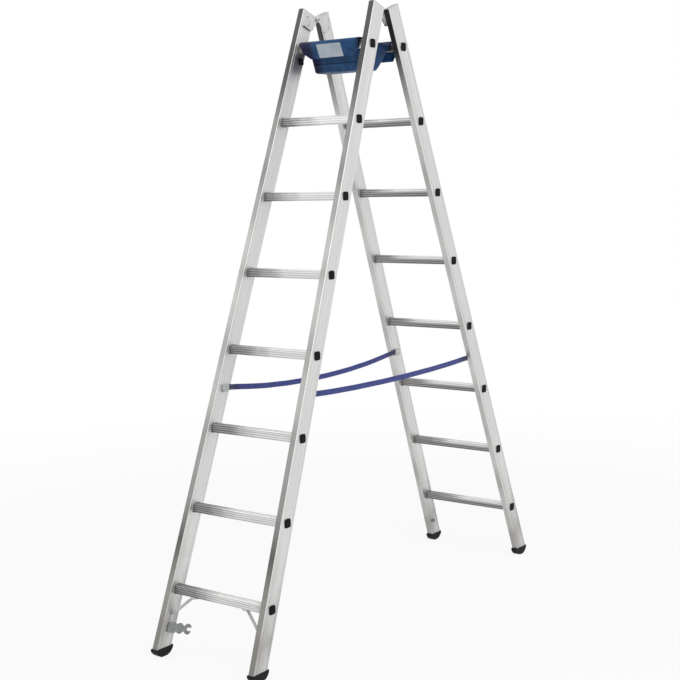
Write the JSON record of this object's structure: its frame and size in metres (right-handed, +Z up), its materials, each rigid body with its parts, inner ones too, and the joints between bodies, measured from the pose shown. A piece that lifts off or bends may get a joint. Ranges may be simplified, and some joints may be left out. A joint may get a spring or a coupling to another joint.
{
  "type": "trestle ladder",
  "caption": "Double-sided folding aluminium ladder with rungs on both sections, hinged at the top, with a tool tray on the top rungs and spreader straps.",
  "frame": {"origin": "on the floor, midway between the four feet", "axes": "+Z up, +X along the rungs to the right seen from the front section, +Y from the front section to the rear one"},
  "size_m": [0.4524, 1.785, 2.2044],
  "materials": {
    "aluminium": "mill finish extrusion, fluted lengthways",
    "cast_aluminium": "die cast, tumbled",
    "steel": "bright zinc plated",
    "black_plastic": "moulded, fine texture",
    "black_rubber": "moulded, ribbed sole",
    "grey_plastic": "moulded, satin",
    "blue_plastic": "moulded polypropylene, satin",
    "blue_webbing": "flat woven webbing"
  },
  "bodies": {
    "front_section": {"front_left_stile": "aluminium", "front_right_stile": "aluminium", "front_rung_1": "aluminium", "front_rung_2": "aluminium", "front_rung_3": "aluminium", "front_rung_4": "aluminium", "front_rung_5": "aluminium", "front_rung_6": "aluminium", "front_rung_7": "aluminium", "front_rung_8": "aluminium", "front_left_rung_caps": "black_plastic", "front_left_foot": "black_rubber", "front_left_hinge_plate": "cast_aluminium", "front_left_strap_clip": "steel", "front_right_rung_caps": "black_plastic", "front_right_foot": "black_rubber", "front_right_hinge_plate": "cast_aluminium", "front_right_strap_clip": "steel", "front_top_covers": "grey_plastic", "front_hinge_rivets": "steel", "front_strap_rivets": "steel", "left_hinge_pin": "steel", "left_tray_guide": "black_plastic", "left_strap": "blue_webbing", "left_rung_brace": "aluminium", "right_hinge_pin": "steel", "right_tray_guide": "black_plastic", "right_strap": "blue_webbing", "right_rung_brace": "aluminium", "tray_guide_rivets": "steel", "brace_rivets": "steel", "transport_catch": "steel", "catch_rivets": "steel"},
    "rear_section": {"rear_left_stile": "aluminium", "rear_right_stile": "aluminium", "rear_rung_1": "aluminium", "rear_rung_2": "aluminium", "rear_rung_3": "aluminium", "rear_rung_4": "aluminium", "rear_rung_5": "aluminium", "rear_rung_6": "aluminium", "rear_rung_7": "aluminium", "rear_rung_8": "aluminium", "rear_left_rung_caps": "black_plastic", "rear_left_foot": "black_rubber", "rear_left_hinge_plate": "cast_aluminium", "rear_left_strap_clip": "steel", "rear_right_rung_caps": "black_plastic", "rear_right_foot": "black_rubber", "rear_right_hinge_plate": "cast_aluminium", "rear_right_strap_clip": "steel", "rear_top_covers": "grey_plastic", "rear_hinge_rivets": "steel", "rear_strap_rivets": "steel", "keeper_stud": "steel"},
    "tool_tray": {"tool_tray": "blue_plastic"}
  },
  "joints": [
    {"name": "fold", "type": "hinge", "parent": "front_section", "child": "rear_section", "pos_m": [0, 0, 2.17179], "axis": [-1, 0, 0], "range_deg": [0, 41], "deforming": ["left_strap", "right_strap"]},
    {"name": "tray_tip", "type": "hinge", "parent": "front_section", "child": "tool_tray", "pos_m": [0, -0.09586, 2.05389], "axis": [1, 0, 0], "range_deg": [0, 98.4]}
  ],
  "couplings": [
    {"joint": "tray_tip", "follows": "fold", "ratio": 2.4}
  ]
}
